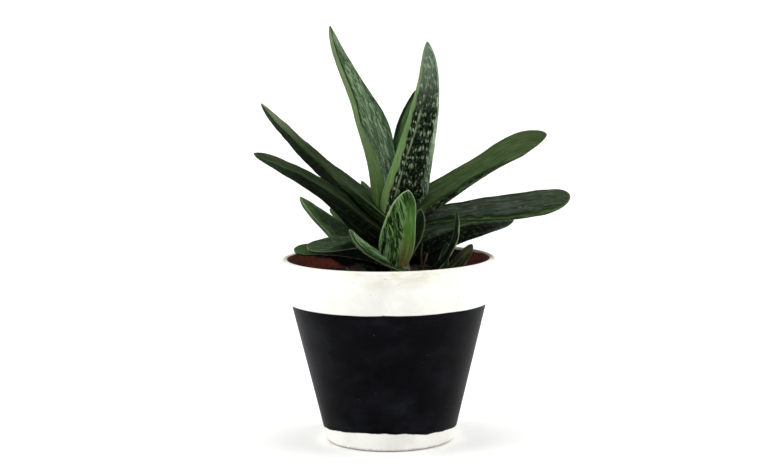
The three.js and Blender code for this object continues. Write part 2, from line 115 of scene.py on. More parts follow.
# Each leaf: its root, its length, its tip, and curves from root to tip: the heading's turn
# and rise in degrees, the roll, where the keel lies between the margins, the widths, and how
# deep the keel is. Where no keel is given it is KEEL.
KEEL = (0, 0.1)
LEAVES = {
    "leaf_resting_left": dict(root=(3, 7, 107.5), length=65.5, tip="round", az=(196, 196),
        el=(28, 16.5, 5.5, -5), roll=(-16, -18), widths=(16, 17, 18, 18, 18, 18),
        depths=(5.5, 5, 3.5)),
    "leaf_drooping_left": dict(root=(2.5, 2, 116.5), length=60, tip="round", az=(210, 205),
        el=(32, 12.5, -5.5, -2), roll=(-16, -18), widths=(15, 17, 18, 19, 19, 18),
        depths=(4.5, 4.4, 3.8)),
    "leaf_low_left": dict(root=(1, 7.5, 106.3), length=77.5, tip="sharp", az=(150, 152),
        el=(25, 32, 35.5, 36), roll=(-8, -10), widths=(18, 27, 25.5, 19.5, 12.5, 6),
        depths=(9, 9, 4)),
    "leaf_low_right": dict(root=(10.5, 9, 114.5), length=83.5, tip="point", az=(24, 34),
        el=(31, 16.5, 5.5, -6), roll=(20, 22, 24), keel=(0.2, 0.3),
        widths=(23, 24, 24.5, 22.5, 18, 12), depths=(10, 8.8, 4)),
    "leaf_low_back": dict(root=(9, 10.5, 111), length=68, tip="point", az=(66, 60),
        el=(26, 20, 12, 4), roll=(6, 10), widths=(18, 20, 20, 18, 14, 9), depths=(7, 6.5, 3.5)),
    "leaf_back_left": dict(root=(3, 11, 112), length=64.5, tip="round", az=(131, 134),
        el=(27.5, 22.5), roll=(-10, -10), widths=(16, 17, 16.5, 15.5, 14, 12), depths=(5.5, 5, 3)),
    "leaf_mid_right": dict(root=(8, 6, 132.3), length=108, tip="round", az=(6, 4),
        el=(20, 6.5, 5.5, 17), roll=(38, 42, 46), keel=(0.2, 0.2),
        widths=(13, 15, 18, 20.5, 21.5, 21.5), depths=(5, 4.6, 4)),
    "leaf_mid_left": dict(root=(1.5, 3, 127), length=103.3, tip="sharp", az=(202, 196),
        el=(41, 38.5, 28, 17.5), roll=(-14, -20, -22), keel=(0, -0.1),
        widths=(27, 21.5, 16.3, 13, 12, 12), depths=(13.5, 12.1, 8.4, 6.2, 2.6)),
    "leaf_short_back": dict(root=(5, 10.5, 124), length=55, tip="point", az=(120, 119),
        el=(36, 38), roll=(0, 0), widths=(12, 13, 13, 11, 8, 5), depths=(4.5, 4, 2.5)),
    "leaf_back": dict(root=(8, 10.5, 121.5), length=80, tip="point", az=(86, 92),
        el=(48, 40, 28, 14), roll=(0, 6), widths=(18, 20, 20, 18, 14, 9), depths=(7.5, 7, 3.5)),
    "leaf_high_left": dict(root=(7.2, 7, 134.4), length=114, tip="sharp", az=(178, 168),
        el=(44.6, 36.9, 42, 45.5), roll=(-4, -8, -12), keel=(0, -0.1), widths=(29, 26, 20, 15, 10, 5),
        depths=(12.5, 8.5, 2.5)),
    "leaf_high_right": dict(root=(5.5, 3, 135.5), length=109.5, tip="broad", az=(344, 347.5),
        el=(44, 32.3, 28.4, 17), roll=(28, 34, 38), keel=(0.3, 0.55, 0.5, 0.3),
        widths=(28, 26, 21, 19.8, 27, 24), depths=(8.5, 6, 2.2)),
    "leaf_tall_front": dict(root=(6, 6, 131.5), length=121.5, tip="point", az=(300, 319),
        el=(68, 68, 75, 100), roll=(-28, -34, -36), keel=(0.45, 0.5, 0.4, 0.2),
        widths=(27, 27.5, 23.2, 19, 13.8, 10), depths=(9, 8, 3.6)),
    "leaf_tall_left": dict(root=(-3, 8, 131.5), length=132, tip="sharp", az=(168, 172),
        el=(101, 80.7, 63, 71), roll=(-8, -30, -38, -36), keel=(-0.2, -0.6, -0.75, -0.6),
        widths=(18, 20, 23.4, 22.4, 13, 8.4, 4.8), depths=(8.3, 7, 3.2)),
    "leaf_tall_back": dict(root=(-0.5, 9, 131), length=91, tip="point", az=(60, 49),
        el=(61, 63, 71, 86), roll=(20, 25), keel=(0.1, 0.2), widths=(20, 21, 21.5, 21, 18.2, 8),
        depths=(7, 6, 3)),
    "pup_front_leaf_left": dict(root=(11, -34, 111.2), length=46.3, tip="point",
        az=(208, 199), el=(22, 28, 38, 60), roll=(-24, -30), widths=(10, 12, 15, 15.5, 14, 11.5),
        depths=(2.8, 2.8, 2.6)),
    "pup_front_leaf_front": dict(root=(4.2, -34, 110.5), length=56.5, tip="sharp",
        az=(287, 293), el=(92, 69, 58, 56), roll=(-12, -18), keel=(-0.1, -0.2, -0.1),
        widths=(10, 20, 21, 18, 14.5, 8), depths=(5, 4.5, 2.5)),
    "pup_front_leaf_back": dict(root=(4.8, -30, 106), length=44, tip="point", az=(16, 0),
        el=(62, 65, 70, 90), roll=(60, 66), widths=(4.5, 5.5, 7, 9, 8.5, 6), depths=(2.6, 2.4, 2)),
    "pup_right_leaf_upright": dict(root=(23, -27, 105.5), length=46.8, tip="point", az=(5, 0),
        el=(47, 47, 62, 85, 97), roll=(-38, -46, -54), widths=(6.5, 6.5, 6.5, 6, 4.5, 3),
        depths=(2.2, 2, 1.5)),
    "pup_right_leaf_right": dict(root=(33, -25.5, 105), length=29.5, tip="broad", az=(36, 40),
        el=(28, 38, 50), roll=(10, 10), widths=(8, 10, 11, 10.5, 9.5, 8), depths=(2.6, 2.2, 1.5)),
    "pup_right_leaf_back": dict(root=(31, -23, 105), length=28, tip="point", az=(78, 72),
        el=(30, 40, 50), roll=(0, 0), widths=(6, 7, 7, 6, 5, 3.5), depths=(2.4, 2, 1.5)),
}

# Dried leaves and shreds of leaf round the offsets, measured like the leaves. Dark and
# withered, they also fill the crown's front where it lies in shade, partly as painted shade.
DRIED = {
    "dried_at_rim": dict(root=(34, -34, 105.5), length=25, tip="point", az=(24, 22),
        el=(16, 14, 8), roll=(30, 20), widths=(4, 6, 6.5, 6, 5, 3), depths=(0.9, 0.8, 0.5)),
    "dried_curl_front": dict(root=(4, -41, 106), length=17, tip="point", az=(196, 176, 150),
        el=(14, 22, -12), roll=(30, 10, -40), widths=(2, 4, 4.5, 4, 2.5), depths=(0.7, 0.6, 0.4)),
    "dried_shred_left": dict(root=(-6, -30, 102.5), length=20, tip="sharp", az=(160, 200),
        el=(10, 26, 4), roll=(0, 60), widths=(1.5, 2.4, 2.6, 2, 1), depths=(0.5, 0.5, 0.3)),
    "dried_shred_upright": dict(root=(20, -30, 102.5), length=24, tip="sharp", az=(120, 60),
        el=(96, 82, 74), roll=(20, 60), widths=(1.4, 1.8, 1.6, 1.4, 0.9), depths=(0.4, 0.4, 0.3)),
    "dried_shred_right": dict(root=(24, -34, 102.5), length=19, tip="sharp", az=(150, 170),
        el=(64, 88, 116), roll=(-20, 40), widths=(1.2, 1.6, 1.6, 1.3, 0.9), depths=(0.4, 0.4, 0.3)),
}

# How a stretch of leaf skin looks: its tones at the root, the middle and the tip, the tone of
# its marks, and how strong its spots, lengthwise streaks, slanting dashes and dark lines are.
# The dark root tones are painted shade where the leaves crowd together at the crown, and the
# near-black skins of the under faces are painted shade laid over the leaves' own dark green.
SKINS = {
    "olive": ((26, 40, 18), (40, 58, 30), (66, 76, 54), (70, 92, 52), (0.1, 0.6, 0, 0.7)),
    "olive_pale": ((22, 36, 12), (33, 50, 20), (112, 122, 96), (62, 84, 40), (0.1, 0.6, 0, 0.8)),
    "olive_dim": ((22, 35, 15), (24, 35, 18), (40, 50, 33), (52, 70, 40), (0.1, 0.5, 0, 0.8)),
    "olive_light": ((26, 42, 20), (46, 66, 38), (66, 84, 54), (88, 108, 70), (0.1, 0.6, 0, 0.6)),
    # painted shade: the near-black under faces of the high leaves
    "shaded_under_green": ((2, 5, 2), (8, 14, 8), (34, 44, 32), (48, 64, 44), (0.35, 0.3, 0, 0.3)),
    "mid_green": ((40, 54, 31), (52, 69, 39), (51, 63, 38), (84, 102, 64), (0.05, 0.5, 0, 0.7)),
    "grey_green": ((42, 48, 40), (44, 51, 42), (48, 58, 42), (86, 98, 84), (0.5, 0.5, 0, 0.8)),
    "low_green": ((10, 15, 8), (36, 50, 31), (44, 60, 38), (92, 108, 84), (0.45, 0.5, 0, 0.9)),
    "shaded": ((1, 2, 1), (4, 6, 3), (54, 78, 42), (60, 76, 50), (0.2, 0.2, 0, 0.6)),
    # painted shade: the under face of the low right leaf, near black
    "deep_shade_spotted": ((1, 2, 1), (5, 8, 4), (24, 33, 21), (60, 74, 56), (0.6, 0.1, 0, 0.3)),
    # painted shade: an upper face darkened where the leaves above shade it
    "shadowed_spotted": ((2, 3, 1), (26, 42, 21), (50, 70, 44), (70, 90, 62), (0.5, 0.2, 0, 0.4)),
    # painted shade: the under faces of most leaves, near black at the root
    "shaded_under_spotted": ((3, 5, 2), (13, 22, 12), (30, 42, 28), (88, 106, 84), (0.8, 0.15, 0, 0.3)),
    "under_green": ((3, 5, 3), (9, 15, 8), (24, 35, 18), (84, 102, 74), (0.9, 0.35, 0, 0.8)),
    "under_soft": ((10, 16, 8), (46, 64, 40), (52, 68, 40), (86, 108, 74), (0.2, 0.6, 0, 0.8)),
    "spotted": ((3, 7, 3), (6, 13, 6), (90, 104, 92), (132, 152, 124), (0.88, 0, 0, 0.2)),
    "grey_strip": ((38, 58, 42), (48, 68, 50), (60, 74, 62), (134, 154, 132), (0.9, 0.2, 0.85, 1)),
    "pale_patch": ((84, 104, 78), (98, 118, 92), (118, 134, 118), (156, 174, 150), (0.8, 0.2, 0.8, 0.8)),
    "dark_mottled": ((28, 42, 28), (40, 60, 38), (54, 72, 46), (92, 118, 90), (0, 0.3, 0.7, 1)),
    "smooth_light": ((90, 114, 64), (84, 110, 68), (102, 118, 90), (112, 134, 96), (0, 0.5, 0, 0.45)),
    "mottled": ((34, 50, 38), (54, 76, 52), (70, 88, 62), (126, 146, 118), (0, 0.5, 0.8, 1)),
    "light_flank": ((60, 88, 38), (82, 102, 66), (98, 112, 84), (106, 122, 92), (0, 0.45, 0, 0.45)),
    "dark_strip": ((16, 26, 12), (22, 36, 14), (44, 58, 34), (60, 80, 46), (0, 0.2, 0, 0.4)),
    "fresh_dark": ((3, 7, 3), (7, 17, 6), (16, 32, 13), (100, 136, 78), (0, 0.25, 0.8, 0.9)),
    "fresh_edge": ((84, 110, 62), (104, 138, 84), (98, 130, 86), (130, 158, 108), (0, 0.4, 0, 0.4)),
    "fresh_frayed": ((5, 11, 5), (14, 26, 12), (56, 86, 46), (108, 140, 98), (0, 1, 0.7, 1)),
    "fresh_bright": ((84, 78, 44), (58, 92, 36), (28, 48, 24), (92, 124, 68), (0, 0.6, 0, 0.6)),
    "fresh_dim": ((4, 9, 4), (12, 23, 10), (26, 40, 22), (84, 112, 70), (0, 0.3, 0.5, 0.9)),
    "fresh_lined": ((16, 30, 10), (22, 42, 16), (34, 56, 26), (120, 152, 92), (0, 0.7, 0.9, 0.6)),
    "fresh_pale": ((18, 30, 12), (34, 52, 29), (46, 64, 40), (142, 168, 126), (0, 1, 0.6, 0.6)),
    "dry_point": ((60, 52, 40), (60, 52, 40), (62, 54, 44), (96, 86, 70), (0, 0.3, 0, 0.4)),
    "dark_smooth": ((9, 17, 6), (12, 24, 10), (22, 36, 18), (44, 64, 36), (0.1, 0.4, 0, 0.4)),
    "night_smooth": ((3, 7, 2), (7, 15, 6), (16, 27, 13), (44, 60, 40), (0.1, 0.3, 0, 0.3)),
    "dry_olive": ((5, 8, 4), (19, 27, 14), (44, 48, 30), (84, 84, 58), (0.2, 0.5, 0, 0.8)),
    "withered": ((10, 9, 6), (26, 23, 15), (52, 46, 32), (86, 78, 58), (0, 0.5, 0, 0.8)),
}

PALE_MARGIN = (132, 150, 112)

# Each leaf's skins: the upper face, and the under face's flanks towards the section's plus
# and minus margins, where minus is as plus if it isn't given. bands lie along a margin, each
# with its face, its side, its skin, its width in mm at even steps from root to tip and how
# far its edge strays. rim is how strongly the margins are drawn as pale lines, from root to
# tip, and ridge the same for the keel.
LOOKS = {
    "leaf_resting_left": dict(upper="shaded", plus="shaded_under_spotted", rim=(0, 0.3)),
    "leaf_drooping_left": dict(
        upper="low_green", plus="shaded_under_spotted", rim=(0, 0.35),
        bands=(("over", -1, "shaded", (17, 15, 12, 8, 3, 0.5), 0.8),)),
    "leaf_low_left": dict(
        # its upper face carries painted shade from the leaves above it
        upper="shadowed_spotted", plus="shaded_under_spotted", minus="olive_light", rim=(0.05, 0.3),
        bands=(("over", 1, "olive_light", (1, 1.2, 1.5, 1.8, 2.5, 3), 0.5),
               ("over", -1, "olive_light", (2, 3, 3.5, 4.5, 4, 3), 0.9))),
    "leaf_low_right": dict(
        upper="low_green", plus="deep_shade_spotted", rim=(0, 0.05),
        bands=(("over", 1, "deep_shade_spotted", (24, 21, 15, 11, 6, 0.5), 0.7),)),
    "leaf_low_back": dict(upper="olive", plus="shaded_under_spotted", rim=(0.3, 0.3)),
    "leaf_back_left": dict(upper="olive_light", plus="shaded_under_spotted", rim=(0.3, 0.3)),
    "leaf_mid_right": dict(
        upper="grey_green", plus="shaded_under_spotted", rim=(0.1, 0.15),
        bands=(("over", -1, "dark_strip", (1.5, 1.5, 1.2, 1.2, 1, 0.6), 0.5),
               ("over", 1, "dark_strip", (5, 5.5, 5.5, 5, 4.5, 3), 0.8),
               ("over", 1, "olive_light", (3, 3.2, 3, 2.8, 2.4, 1.5), 0.5),
               ("over", 1, "dark_strip", (1.2, 1.4, 1.4, 1.2, 0.8, 0.4), 0.4))),
    "leaf_mid_left": dict(upper="olive_dim", plus="shaded_under_green", rim=(0.05, 0.1), ridge=0.35),
    "leaf_short_back": dict(upper="olive", plus="shaded_under_spotted", rim=(0.3, 0.3)),
    "leaf_back": dict(
        upper="olive_light", plus="spotted", minus="shaded_under_spotted", rim=(0.4, 0.3), ridge=0.2),
    "leaf_high_left": dict(
        upper="olive_pale", plus="shaded_under_green", rim=(0.6, 0), ridge=0.4,
        bands=(("under", -1, "olive", (7, 5.5, 1.6, 0, 0, 0), 0.6),)),
    "leaf_high_right": dict(
        upper="mid_green", plus="under_soft", minus="shaded_under_spotted", rim=(0.1, 0.05),
        bands=(("over", 1, "dark_strip", (1, 1.4, 1.2, 1, 0.6, 0), 0.4),
               ("under", 1, "under_green", (14, 10, 4.5, 2.4, 1.6, 1.4, 1.1, 0.7, 0.2), 0.9))),
    "leaf_tall_front": dict(
        upper="mid_green", plus="spotted", rim=(0.15, 0.1), ridge=0.7,
        bands=(("under", 1, "smooth_light", (3.6, 3.6, 3.2, 1.9, 1.3, 0.9), 0.2),
               ("under", -1, "grey_strip", (4.6, 4.6, 4.8, 4.5, 3.8, 3.4, 2.4, 1.4, 2.4, 4.6, 7), 1.1),
               ("under", -1, "pale_patch", (0.5, 0.5, 0.6, 0.8, 1.4, 3, 2.4, 1.3, 0.8, 0.9, 1.2), 0.6))),
    "leaf_tall_left": dict(
        upper="mottled", plus="spotted", minus="light_flank", rim=(0, 0.1),
        bands=(("over", 1, "dark_mottled", (7, 7, 6.5, 6, 5, 4, 2, 1, 0.5, 0.3, 0), 1.2),
               ("over", -1, "dark_strip", (0, 0, 0, 0, 0, 0.6, 1.6, 1.5, 1.3, 1, 0.5), 0.3),
               ("over", -1, "light_flank", (10, 9.5, 8.3, 6.4, 4.4, 0.4, 0, 0, 0, 0, 0), 0.2))),
    "leaf_tall_back": dict(
        upper="olive_light", plus="dark_smooth", minus="mid_green", rim=(0.1, 0.1),
        bands=(("over", -1, "dark_smooth", (5, 4.5, 3.6, 3, 2.4, 1.5), 0.8),
               ("over", 1, "dark_smooth", (7, 6, 5, 4.5, 3.5, 2), 0.8))),
    "pup_front_leaf_left": dict(
        upper="fresh_pale", plus="fresh_dark", rim=(0.75, 0.5),
        bands=(("over", -1, "fresh_dim", (4, 5.5, 7, 7, 5, 2.5), 0.8),
               ("over", 1, "fresh_edge", (1, 1.3, 1.4, 1.3, 1, 0.5), 0.2))),
    "pup_front_leaf_front": dict(
        upper="fresh_lined", plus="fresh_dark", minus="fresh_bright", rim=(0.7, 0.95), ridge=0.5,
        bands=(("under", 1, "fresh_frayed", (0, 2, 6, 5, 1, 0, 0, 0, 0), 1.2),
               ("under", 1, "fresh_edge", (0, 0.1, 0.2, 0.5, 0.9, 1, 0.9, 0.6, 0.4), 0.2))),
    "pup_front_leaf_back": dict(
        upper="night_smooth", plus="night_smooth", rim=(0.35, 0.4),
        bands=(("over", 1, "grey_green", (0.8, 0.9, 0.9, 0.9, 0.7, 0.5), 0.15),)),
    "pup_right_leaf_upright": dict(
        upper="night_smooth", plus="night_smooth", minus="smooth_light", rim=(0, 0.1), ridge=0.5),
    "pup_right_leaf_right": dict(
        upper="dry_olive", plus="dry_olive", rim=(0.1, 0.2),
        bands=(("over", -1, "withered", (0, 0, 1, 3, 1.5, 0), 0.7),)),
    "pup_right_leaf_back": dict(upper="dark_smooth", plus="dark_smooth", rim=(0.3, 0.3)),
}
# the dried leaves' dark tones: withered leaf, and painted shade in the crown
DRIED_LOOK = dict(upper="withered", plus="withered", rim=(0, 0))


# ---- small tools

def linear(shown):
    """A tone given from 0 to 255 as screens show it, as linear light."""
    c = np.asarray(shown, float) / 255
    return np.where(c <= 0.04045, c / 12.92, ((c + 0.055) / 1.055) ** 2.4)


def ease(x, low, high):
    """0 below low, 1 above high, and a smooth step 3t^2 - 2t^3 between."""
    t = np.clip((x - low) / (high - low), 0, 1)
    return t * t * (3 - 2 * t)


def ripples(x, y, seed, reach, count=7):
    """Soft random relief, about -1 to 1: sine waves laid over each other, each with its own
    seeded heading and phase and a length near reach."""
    rng = np.random.default_rng(seed)
    total = np.zeros(np.broadcast(x, y).shape)
    for _ in range(count):
        heading, phase = rng.uniform(0, 2 * np.pi, 2)
        pace = 2 * np.pi / (reach * rng.uniform(0.6, 1.7))
        total += np.sin(pace * (np.cos(heading) * x + np.sin(heading) * y) + phase)
    return total / math.sqrt(count)


def along(values, s):
    """A Catmull-Rom curve through evenly spaced values, read at s from 0 to 1."""
    v = np.asarray(values, float)
    last = len(v) - 1
    x = np.clip(s, 0, 1) * last
    i = np.minimum(x.astype(int), last - 1)
    t = x - i
    padded = np.concatenate([[2 * v[0] - v[1]], v, [2 * v[-1] - v[-2]]])
    a, b, c, d = padded[i], padded[i + 1], padded[i + 2], padded[i + 3]
    return 0.5 * (2 * b + (c - a) * t + (2 * a - 5 * b + 4 * c - d) * t ** 2
                  + (3 * b - a - 3 * c + d) * t ** 3)


def around(sides):
    """Evenly spaced angles round a full turn, in radians."""
    return np.linspace(0, 2 * np.pi, sides, endpoint=False)


def turned(radius, height, sides, centre=(0, 0)):
    """Rings of points: a profile of radii and heights turned about an upright axis."""
    angle = around(sides)
    radius, height = np.asarray(radius, float)[:, None], np.asarray(height, float)[:, None]
    return np.stack([centre[0] + radius * np.cos(angle), centre[1] + radius * np.sin(angle),
                     height + 0 * angle], 2)


def tube_faces(rows, sides, flip=False):
    """The faces of a closed tube of rings: quads between neighbouring rings, and at either
    end a fan of triangles round an end point. The two end points come after the rings."""
    j, i = np.meshgrid(np.arange(rows - 1) * sides, np.arange(sides), indexing="ij")
    k = (i + 1) % sides
    quads = np.stack([q.ravel() for q in (j + i, j + sides + i, j + sides + k, j + k)], 1)
    ring = np.arange(sides)
    after = (ring + 1) % sides
    last = (rows - 1) * sides
    start = np.full(sides, rows * sides)
    fans = np.concatenate([np.stack([start, ring, after], 1),
                           np.stack([start + 1, last + after, last + ring], 1)])
    return (quads[:, ::-1], fans[:, [0, 2, 1]]) if flip else (quads, fans)


def repeated(faces, count, size):
    """The same faces for each of count shapes that follow each other, of size points each."""
    return (faces + size * np.arange(count)[:, None, None]).reshape(-1, faces.shape[1])


def mesh_piece(name, points, quads, fans, uv=None, colours=None, numbers=None):
    """A smooth-shaded mesh object from points in millimetres, quads and triangle fans, with
    a UV map per quad corner, colour attributes and number attributes per point."""
    points = np.asarray(points, float).reshape(-1, 3)
    corners = np.concatenate([quads.ravel(), fans.ravel()])
    sizes = np.concatenate([np.full(len(quads), 4), np.full(len(fans), 3)])
    mesh = bpy.data.meshes.new(name)
    mesh.vertices.add(len(points))
    mesh.vertices.foreach_set("co", (points * MM).ravel())
    mesh.loops.add(len(corners))
    mesh.loops.foreach_set("vertex_index", corners)
    mesh.polygons.add(len(sizes))
    mesh.polygons.foreach_set("loop_start", np.concatenate([[0], np.cumsum(sizes)[:-1]]))
    if uv is not None:
        at_fans = np.zeros((fans.size, 2))
        layer = mesh.uv_layers.new(name="skin")
        layer.data.foreach_set("uv", np.concatenate([uv.reshape(-1, 2), at_fans]).ravel())
    for kind, field, layers in (("FLOAT_COLOR", "color", colours), ("FLOAT", "value", numbers)):
        for label, values in (layers or {}).items():
            attribute = mesh.attributes.new(label, kind, "POINT")
            attribute.data.foreach_set(field, np.asarray(values, float).ravel())
    mesh.update(calc_edges=True)
    mesh.validate()
    mesh.polygons.foreach_set("use_smooth", np.ones(len(mesh.polygons), bool))
    piece = bpy.data.objects.new(name, mesh)
    bpy.context.scene.collection.objects.link(piece)
    return piece


def tube_piece(name, rings, ends, flip=False, **layers):
    """A mesh object from rings of points, closed round a point at either end."""
    points = np.concatenate([rings.reshape(-1, 3), np.asarray(ends, float)])
    return mesh_piece(name, points, *tube_faces(*rings.shape[:2], flip), **layers)


def place(piece, material, node=None):
    """Gives a piece its material and its place on the root body."""
    piece.data.materials.append(material)
    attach(piece, "root")
    if node:
        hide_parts(node)


# ---- material tools

class Recipe:
    """A node material that is put together a node at a time."""

    SURFACE = {"colour": "Base Color", "roughness": "Roughness", "normal": "Normal",
               "gloss": "Specular IOR Level"}

    def __init__(self, name):
        self.material = bpy.data.materials.new(name)
        self.material.use_nodes = True
        self.tree = self.material.node_tree
        self.tree.nodes.clear()
        self.shader = self.add("BsdfPrincipled")
        self.add("OutputMaterial", {"Surface": self.shader.outputs[0]})

    def add(self, kind, inputs=None, **settings):
        node = self.tree.nodes.new("ShaderNode" + kind)
        for key, value in settings.items():
            setattr(node, key, value)
        for key, value in (inputs or {}).items():
            self.feed(node.inputs[key], value)
        return node

    def feed(self, socket, value):
        if isinstance(value, bpy.types.NodeSocket):
            self.tree.links.new(value, socket)
        else:
            socket.default_value = value

    def surface(self, **inputs):
        for key, value in inputs.items():
            self.feed(self.shader.inputs[self.SURFACE[key]], value)
        return self.material

    def attribute(self, label, output="Fac"):
        return self.add("Attribute", attribute_name=label).outputs[output]

    def place(self):
        return self.add("TexCoord").outputs["Object"]

    def spread(self, vector, scale):
        """Where and at what scale a texture is read; three scales stretch its pattern."""
        if isinstance(scale, tuple):
            vector = self.add("Mapping", {"Vector": vector, "Scale": scale}).outputs[0]
            scale = 1
        return {"Vector": vector, "Scale": scale}

    def noise(self, vector, scale, detail=3, roughness=0.5, distortion=0):
        return self.add("TexNoise", {
            **self.spread(vector, scale), "Detail": detail, "Roughness": roughness,
            "Distortion": distortion}).outputs["Fac"]

    def cells(self, vector, scale, scatter=1):
        return self.add("TexVoronoi", {
            **self.spread(vector, scale), "Randomness": scatter}).outputs

    def dots(self, vector, scale, low, high, top=1):
        """Round dots in the middle of a texture's cells, fading out from low to high."""
        return self.between(self.cells(vector, scale)["Distance"], low, high, top, 0)

    def channels(self, colour):
        return self.add("SeparateColor", {0: colour}).outputs[:3]

    def axes(self, vector):
        return self.add("SeparateXYZ", {0: vector}).outputs[:3]

    def sums(self, operation, a, b):
        return self.add("Math", {0: a, 1: b}, operation=operation).outputs[0]

    def plus(self, a, b):
        return self.sums("ADD", a, b)

    def times(self, a, b):
        return self.sums("MULTIPLY", a, b)

    def most(self, a, b):
        return self.sums("MAXIMUM", a, b)

    def between(self, value, low, high, start=0, end=1):
        """A smooth step from start at low to end at high."""
        return self.add("MapRange", {
            "Value": value, "From Min": low, "From Max": high, "To Min": start,
            "To Max": end}, interpolation_type="SMOOTHSTEP").outputs[0]

    def mix(self, share, a, b, blend="MIX"):
        return self.add("Mix", {0: share, 6: a, 7: b}, data_type="RGBA",
                        blend_type=blend).outputs[2]

    def relief(self, height, depth, strength, under=None):
        """Low relief of a depth in millimetres, laid over the relief under it."""
        inputs = {"Height": height, "Distance": depth * MM, "Strength": strength}
        if under is not None:
            inputs["Normal"] = under
        return self.add("Bump", inputs).outputs[0]


def tone(values):
    return (*linear(values), 1.0)


def leaf_skin():
    """Waxy leaf skin. The ground tone, the marks' tone and how strong each kind of mark is
    come from the leaf's own points; the marks lie on its UV map, in millimetres across and
    along the leaf: short pale spots gathered in rows across it, lengthwise streaks and dark
    lines, and slanting dashes."""
    r = Recipe("leaf_skin")
    ground = r.attribute("ground", "Color")
    spots, streaks, dashes = r.channels(r.attribute("share", "Color"))
    skin = r.add("UVMap", uv_map="skin").outputs[0]

    across, length, _ = r.axes(skin)
    swayed = r.plus(length, r.times(r.noise(skin, 0.1, 2), 7))
    rows = r.add("CombineXYZ", {0: r.times(across, SPOT_PACE),
                                1: r.times(swayed, 2 / SPOT_ROWS)}).outputs[0]
    cell = r.cells(rows, 1, scatter=0.8)
    chance, strength, size = r.channels(cell["Color"])
    level = r.axes(cell["Position"])[1]
    row = r.between(r.sums("PINGPONG", r.plus(level, 0.5), 1), 0.4, 0.6, 0.2, 1)
    crowd = r.between(r.noise(skin, (0.2, 0.12, 1), 2), 0.35, 0.6, 0.55, 1)
    reach = r.sums("DIVIDE", cell["Distance"], r.between(size, 0, 1, 0.8, 1.4))
    dot = r.times(r.between(reach, 0.3, 0.56, 1, 0), r.between(strength, 0, 1, 0.5, 1))
    dot = r.times(r.times(dot, r.between(chance, 0.14, 0.2)), r.times(row, crowd))
    small = r.cells(skin, (1.7, 1.2, 1))
    fleck = r.times(r.between(small["Distance"], 0.15, 0.35, 0.35, 0),
                    r.between(r.channels(small["Color"])[0], 0.5, 0.55))
    spot = r.times(r.most(dot, fleck), spots)

    fibres = r.noise(skin, (0.75, 0.07, 1), 4, 0.62, 0.5)
    streak = r.times(r.between(fibres, 0.44, 0.68), streaks)
    slanted = r.add("VectorRotate", {"Vector": skin, "Angle": 0.27},
                    rotation_type="Z_AXIS").outputs[0]
    strokes = r.noise(slanted, (0.66, 0.11, 1), 3, 0.6, 1.5)
    dash = r.times(r.between(strokes, 0.505, 0.59), dashes)

    marks = r.most(r.most(spot, dash), streak)
    colour = r.mix(marks, ground, r.attribute("mark", "Color"))
    wavy = r.noise(skin, (0.9, 0.06, 1), 3, 0.6, 1.1)
    dark = r.times(r.between(wavy, 0.46, 0.36), r.attribute("share", "Alpha"))
    darkened = r.mix(1, colour, (0.16, 0.2, 0.16, 1), "MULTIPLY")
    colour = r.mix(r.times(dark, 0.8), colour, darkened)
    patches = r.noise(skin, (0.08, 0.045, 1))
    shade = r.mix(patches, (0.6, 0.64, 0.64, 1), (1.4, 1.36, 1.3, 1))
    colour = r.mix(1, colour, shade, "MULTIPLY")
    colour = r.mix(r.attribute("pale"), colour, tone(PALE_MARGIN))

    normal = r.relief(fibres, 0.14, 0.6)
    normal = r.relief(marks, 0.07, 0.6, normal)
    normal = r.relief(r.noise(skin, 3.2, 2, 0.6), 0.03, 0.5, normal)
    green = r.channels(ground)[1]
    roughness = r.most(r.between(patches, 0.3, 0.7, 0.6, 0.72),
                       r.between(green, 0.002, 0.012, 1, 0))
    return r.surface(colour=colour, roughness=roughness, normal=normal, gloss=0.02)


